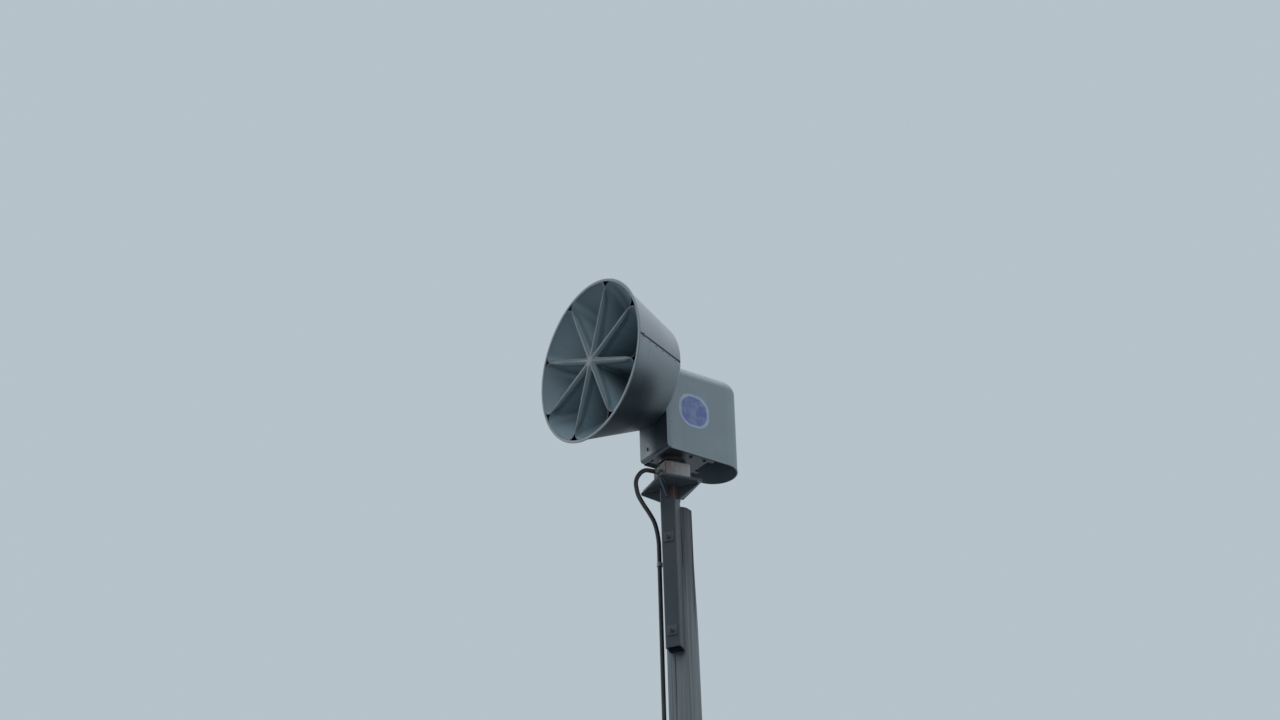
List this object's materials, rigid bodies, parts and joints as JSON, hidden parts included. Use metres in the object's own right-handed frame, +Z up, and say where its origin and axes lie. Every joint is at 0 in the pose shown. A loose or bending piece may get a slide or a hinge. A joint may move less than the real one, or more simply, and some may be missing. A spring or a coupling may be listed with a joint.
{
  "type": "civil defense siren tower",
  "caption": "Rotating warning siren with a round fluted horn and a rounded hood, on a steel bracket at the top of a wooden pole.",
  "frame": {"origin": "centre of the wooden pole's flat foot, at ground level", "axes": "+Z up along the pole; the horn faces -Y at rest; +X is to the right of someone who looks along +Y"},
  "size_m": [0.918, 0.9415, 14.263],
  "materials": {
    "weathered_wood": "weathered, grey, open grain",
    "dark_steel": "dull dark paint with rust at the welds",
    "zinc_steel": "dull zinc",
    "riser_zinc": "dull galvanised",
    "pedestal_paint": "satin light grey paint",
    "machined_steel": "greased, dark",
    "gland_metal": "dull",
    "cable_jacket": "black jacket",
    "gasket_rubber": "matt black",
    "housing_paint": "satin grey paint",
    "horn_paint": "satin grey paint",
    "throat_paint": "satin slate grey paint",
    "rotor_aluminium": "dull cast",
    "motor_paint": "dark grey enamel"
  },
  "bodies": {
    "mast": {"wood_pole": "weathered_wood", "bracket_post": "dark_steel", "top_plate": "dark_steel", "gusset_right": "dark_steel", "gusset_back": "dark_steel", "gusset_left": "dark_steel", "gusset_front": "dark_steel", "through_bolt_upper": "zinc_steel", "through_bolt_lower": "zinc_steel", "pedestal": "pedestal_paint", "spindle": "machined_steel", "bearing_ring": "machined_steel", "cable_gland": "gland_metal", "feed_cable": "cable_jacket", "cable_clips": "zinc_steel", "riser_pipe": "riser_zinc", "riser_bushing": "riser_zinc", "riser_straps": "zinc_steel"},
    "head": {"turntable": "machined_steel", "base_plate": "dark_steel", "rail_left": "dark_steel", "rail_right": "dark_steel", "seam_gaskets": "gasket_rubber", "seam_clips": "horn_paint", "front_wall": "housing_paint", "hood": "housing_paint", "horn_shell_upper": "horn_paint", "horn_shell_lower": "horn_paint", "horn_lip": "horn_paint", "hub_rod": "throat_paint", "stator": "throat_paint", "rotor": "rotor_aluminium", "motor": "motor_paint", "saddle_front": "dark_steel", "saddle_rear": "dark_steel", "gearbox": "motor_paint", "slew_motor": "motor_paint", "flute_1": "throat_paint", "flute_2": "throat_paint", "flute_3": "throat_paint", "flute_4": "throat_paint", "flute_5": "throat_paint", "flute_6": "throat_paint", "flute_7": "throat_paint", "flute_8": "throat_paint"}
  },
  "joints": [
    {"name": "head_rotation", "type": "hinge", "parent": "mast", "child": "head", "pos_m": [0.08204, -0.09122, 13.314], "axis": [0, 0, 1], "continuous": true}
  ]
}
